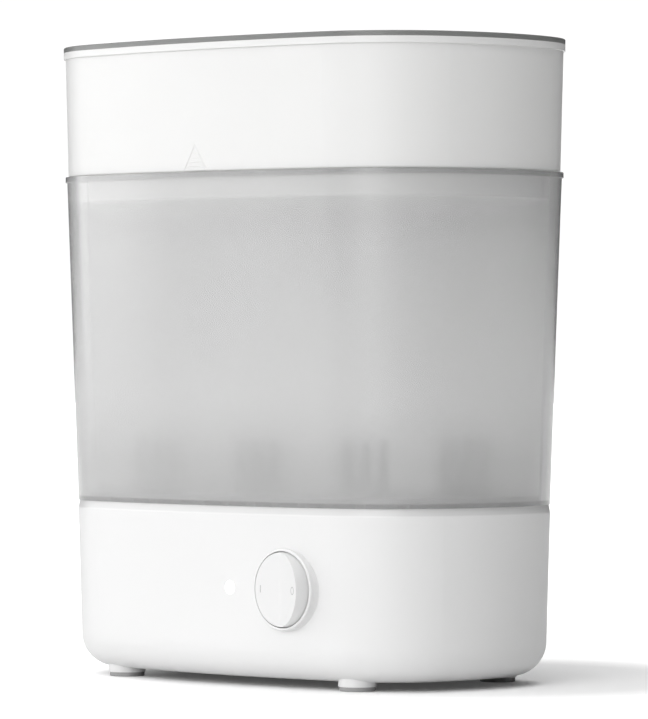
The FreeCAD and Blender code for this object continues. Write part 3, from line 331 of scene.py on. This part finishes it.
def bar(shape, route, width, height, lift):
    """A raised bar along a route in the X-Z plane, whose outline is round-topped.

    lift(x, z) gives the Y of the surface that the bar stands on; it stands out towards -Y.
    """
    count = len(route)
    loops = []
    for index, (x, z) in enumerate(route):
        before = Vector(route[index - 1] if index else route[index])
        after = Vector(route[index + 1] if index + 1 < count else route[index])
        along = (after - before).normalized()
        side = Vector((-along.y, along.x))
        loop = []
        for across, proud in ((-0.5, -0.3), (-0.42, 0.6), (0, 1), (0.42, 0.6), (0.5, -0.3)):
            px = x + side.x * across * width
            pz = z + side.y * across * width
            loop.append(shape.verts.new((px, lift(px, pz) - proud * height, pz)))
        loops.append(loop)
    for first, second in zip(loops, loops[1:]):
        for k in range(5):
            shape.faces.new((first[k - 1], first[k], second[k], second[k - 1]))
    shape.faces.new(loops[0])
    shape.faces.new(reversed(loops[-1]))


def ring_route(x, z, radius_x, radius_z, count=40):
    """A closed oval route about a point."""
    turns = [2 * math.pi * k / count for k in range(count + 1)]
    return [(x + radius_x * math.cos(t), z + radius_z * math.sin(t)) for t in turns]


def straight(start, end, count=6):
    """Evenly spaced points between two ends."""
    return [(start[0] + (end[0] - start[0]) * k / count, start[1] + (end[1] - start[1]) * k / count)
            for k in range(count + 1)]


def joined(name, routes, width, height, lift, finish, body):
    """Several raised bars as one piece."""
    shape = bmesh.new()
    for route in routes:
        bar(shape, route, width, height, lift)
    return piece(name, shape, finish, body)


# The raised triangle with ribs at the foot of the small basket's front wall
basket_low, basket_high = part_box("small_basket")
flange_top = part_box("large_basket")[1].z
FRONT_RADIUS = 0.570
LIP_HEIGHT = 3.5 * MM
WALL_TOP_INSET, WALL_FOOT_INSET = 1.0 * MM, 2.6 * MM
TRIANGLE_X, TRIANGLE_HALF = 1.5 * MM, 8.2 * MM
TRIANGLE_FOOT, TRIANGLE_PEAK = flange_top + 0.8 * MM, flange_top + 14.2 * MM
RIB_COUNT = 4
FIRST_RIB, RIB_PITCH, RIB_MARGIN = 2.2 * MM, 2.1 * MM, 2.2 * MM
wall_top = basket_high.z - LIP_HEIGHT


def basket_front(x, z):
    """Y of the small basket's front wall, which leans in a little towards its foot."""
    share = (wall_top - z) / (wall_top - flange_top)
    inset = WALL_TOP_INSET + (WALL_FOOT_INSET - WALL_TOP_INSET) * share
    return basket_low.y + inset + FRONT_RADIUS - math.sqrt(FRONT_RADIUS ** 2 - x * x)


def ribbed_triangle():
    """Routes of a triangle's three sides and of the level ribs inside it."""
    left = (TRIANGLE_X - TRIANGLE_HALF, TRIANGLE_FOOT)
    right = (TRIANGLE_X + TRIANGLE_HALF, TRIANGLE_FOOT)
    peak = (TRIANGLE_X, TRIANGLE_PEAK)
    routes = [straight(left, peak), straight(peak, right), straight(right, left)]
    for rib in range(RIB_COUNT):
        level = TRIANGLE_FOOT + FIRST_RIB + RIB_PITCH * rib
        share = (TRIANGLE_PEAK - level) / (TRIANGLE_PEAK - TRIANGLE_FOOT)
        reach = TRIANGLE_HALF * share - RIB_MARGIN
        routes.append(straight((TRIANGLE_X - reach, level), (TRIANGLE_X + reach, level), 4))
    return routes


joined("basket_mark", ribbed_triangle(), 0.6 * MM, 0.25 * MM, basket_front, pearl,
       "small_basket")

# The raised marks on the two faces of the rocker, made square to its pin and then tipped
rocker_joint = next(joint for joint in frame["joints"] if joint["name"] == "rocker_tilt")
PIVOT = Vector(rocker_joint["pos_m"])
TIP = -math.radians(rocker_joint["range_deg"][1] / 2)
CREASE_DEPTH = 4.1 * MM
DISH_SLOPE = math.tan(math.radians(8.65))
ON_X, OFF_X = -14.6 * MM, 14.2 * MM
MARK_HALF_WIDTH, MARK_HALF_HEIGHT, MARK_RISE = 1.5 * MM, 1.9 * MM, 0.12 * MM


def button_face(x, _z):
    """Y of the rocker's dished face, counted from its pin."""
    return -CREASE_DEPTH - DISH_SLOPE * abs(x)


def tipped(item):
    item.data.transform(Matrix.Translation(PIVOT) @ Matrix.Rotation(TIP, 4, "Z"))
    return item


on_route = straight((ON_X, -MARK_HALF_HEIGHT), (ON_X, MARK_HALF_HEIGHT))
off_route = ring_route(OFF_X, 0, MARK_HALF_WIDTH, MARK_HALF_HEIGHT)
tipped(joined("on_mark", [on_route], 0.5 * MM, MARK_RISE, button_face, printed, "rocker"))
tipped(joined("off_mark", [off_route], 0.45 * MM, MARK_RISE, button_face, printed, "rocker"))


# ---- stage, light and camera ----------------------------------------------------------------

FLOOR_HALF = 9

# A glow on the floor that only the eye sees: dim about a middle, which paints a shadow round the
# object, and full past a distance from it, so that the far floor looks plain white. It lights nothing.
GLOW_IN_PAINTED_SHADOW, GLOW_FAR = 0.05, 0.5
GLOW_STARTS, GLOW_FULL = 0.13, 0.23
PAINTED_SHADOW_MIDDLE = (0.045, 0.045, 0.0)


def sheet_of_floor():
    shape = bmesh.new()
    bmesh.ops.create_grid(shape, x_segments=24, y_segments=24, size=FLOOR_HALF)
    mesh = bpy.data.meshes.new("floor")
    shape.to_mesh(mesh)
    shape.free()
    item = bpy.data.objects.new("floor", mesh)
    bpy.context.scene.collection.objects.link(item)
    recipe = Recipe("pale_floor", roughness=0.9, specular_ior_level=0.1)
    recipe.set("Base Color", recipe.tint(recipe.noise(scale=1.5, detail=2), grey(0.9), grey(0.91)))
    recipe.set("Emission Color", (1, 1, 1, 1))
    # Painted shadow: the glow is dimmed about a middle just right of and behind the object's centre
    away = recipe.node("VectorMath", {0: recipe.place, 1: PAINTED_SHADOW_MIDDLE}, operation="DISTANCE")
    glow = recipe.span(away.outputs["Value"], GLOW_IN_PAINTED_SHADOW, GLOW_FAR, GLOW_STARTS, GLOW_FULL,
                       "SMOOTHSTEP")
    eye = recipe.node("LightPath").outputs["Is Camera Ray"]
    recipe.set("Emission Strength", recipe.sum(glow, 0.0, eye))
    mesh.materials.append(recipe.material)


def toward(azimuth, elevation):
    """The way to a compass point: 0 degrees is the front, and 90 is the right."""
    turn, lift = math.radians(azimuth), math.radians(elevation)
    return Vector((math.sin(turn) * math.cos(lift), -math.cos(turn) * math.cos(lift), math.sin(lift)))


# Soft light from far away: azimuth, elevation, full out to, gone by (degrees) and strength
GLOWS = [
    (0, 90, 20, 42, 2.2),
    (22, 25, 10, 32, 3.6),
    (-42, 22, 10, 32, 1.6),
    (-68, 8, 8, 20, 2.4),
]
AMBIENT = 0.03
SEEN_WHITE = 1.05


def studio_air():
    """A far surround of soft glows over a dim grey, which looks plain white to the eye."""
    world = bpy.data.worlds.new("studio")
    world.use_nodes = True
    graph = Graph(world.node_tree)
    way = graph.node("TexCoord").outputs["Generated"]
    light = AMBIENT
    for azimuth, elevation, inner, outer, strength in GLOWS:
        inputs = {0: way, 1: toward(azimuth, elevation)}
        facing = graph.node("VectorMath", inputs, operation="DOT_PRODUCT").outputs["Value"]
        start, end = math.cos(math.radians(outer)), math.cos(math.radians(inner))
        glow = graph.span(facing, 0.0, strength, start, end, "SMOOTHSTEP")
        light = graph.sum(glow, light)
    lit = graph.node("Background", {"Strength": light})
    seen = graph.node("Background", {"Strength": SEEN_WHITE})
    for back in (lit, seen):
        back.inputs["Color"].default_value = (1, 1, 1, 1)
    eye = graph.node("LightPath").outputs["Is Camera Ray"]
    both = graph.node("MixShader", {0: eye, 1: lit.outputs[0], 2: seen.outputs[0]})
    out = world.node_tree.nodes["World Output"]
    graph.fill(out.inputs["Surface"], both.outputs[0])
    bpy.context.scene.world = world


sheet_of_floor()
studio_air()

# A long lens, far off, almost level, and 45 degrees to the right of the front
CAMERA_TURN = math.radians(45)
CAMERA_AWAY, CAMERA_HEIGHT = 2.8086, 0.1824
AIM = Vector((0.0050, 0.0050, 0.1711))

camera_data = bpy.data.cameras.new("camera")
camera_data.sensor_width = 36
camera_data.lens = 262.2
camera_data.clip_end = 50
camera = bpy.data.objects.new("camera", camera_data)
bpy.context.scene.collection.objects.link(camera)
camera.location = (CAMERA_AWAY * math.sin(CAMERA_TURN), -CAMERA_AWAY * math.cos(CAMERA_TURN),
                   CAMERA_HEIGHT)
camera.rotation_euler = (camera.location - AIM).to_track_quat("Z", "Y").to_euler()
bpy.context.scene.camera = camera
bpy.context.scene.view_settings.view_transform = "Standard"
